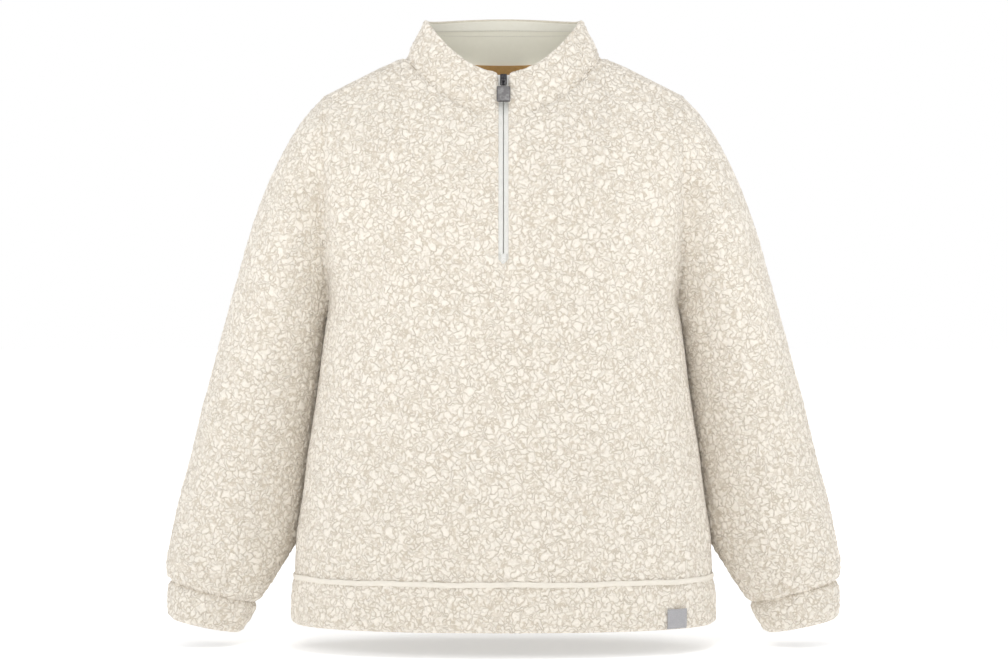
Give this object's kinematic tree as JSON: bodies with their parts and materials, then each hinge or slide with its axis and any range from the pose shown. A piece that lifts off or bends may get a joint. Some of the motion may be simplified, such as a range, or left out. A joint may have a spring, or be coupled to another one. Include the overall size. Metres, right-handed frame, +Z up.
{
  "type": "sherpa fleece pullover",
  "caption": "Half-zip pullover in curly sherpa fleece, filled out as worn, with a stand collar, long sleeves, cuffs and a hem band.",
  "frame": {"origin": "middle of the neck opening, level with where the shoulder seams meet the collar", "axes": "+X towards the wearer's left, -Y towards the front, +Z up"},
  "size_m": [0.8136, 0.2507, 0.7445],
  "materials": {
    "fleece": "deep curly sherpa pile, matt",
    "facing": "smooth brushed jersey, matt",
    "hem_strip": "soft ribbed tape, matt",
    "zip_tape": "fine twill tape, matt",
    "neck_tape": "herringbone cotton tape, matt",
    "label": "smooth woven patch, slightly shiny",
    "slider": "dark plated metal, satin",
    "pull": "grey cast metal, satin and lightly worn"
  },
  "bodies": {
    "garment": {"front": "fleece", "back": "fleece", "sleeve_left": "fleece", "sleeve_right": "fleece", "cuff_left": "fleece", "cuff_right": "fleece", "hem_band": "fleece", "hem_strip": "hem_strip", "collar": "fleece", "collar_facing": "facing", "neck_tape": "neck_tape", "zip_tape_left": "zip_tape", "zip_tape_right": "zip_tape", "zip_slider": "slider", "hem_label": "label"},
    "pull": {"zip_pull": "pull"}
  },
  "joints": [
    {"name": "pull_swing", "type": "hinge", "parent": "garment", "child": "pull", "pos_m": [0, -0.07213, -0.03632], "axis": [-1, 0, 0], "range_deg": [0, 140]}
  ]
}
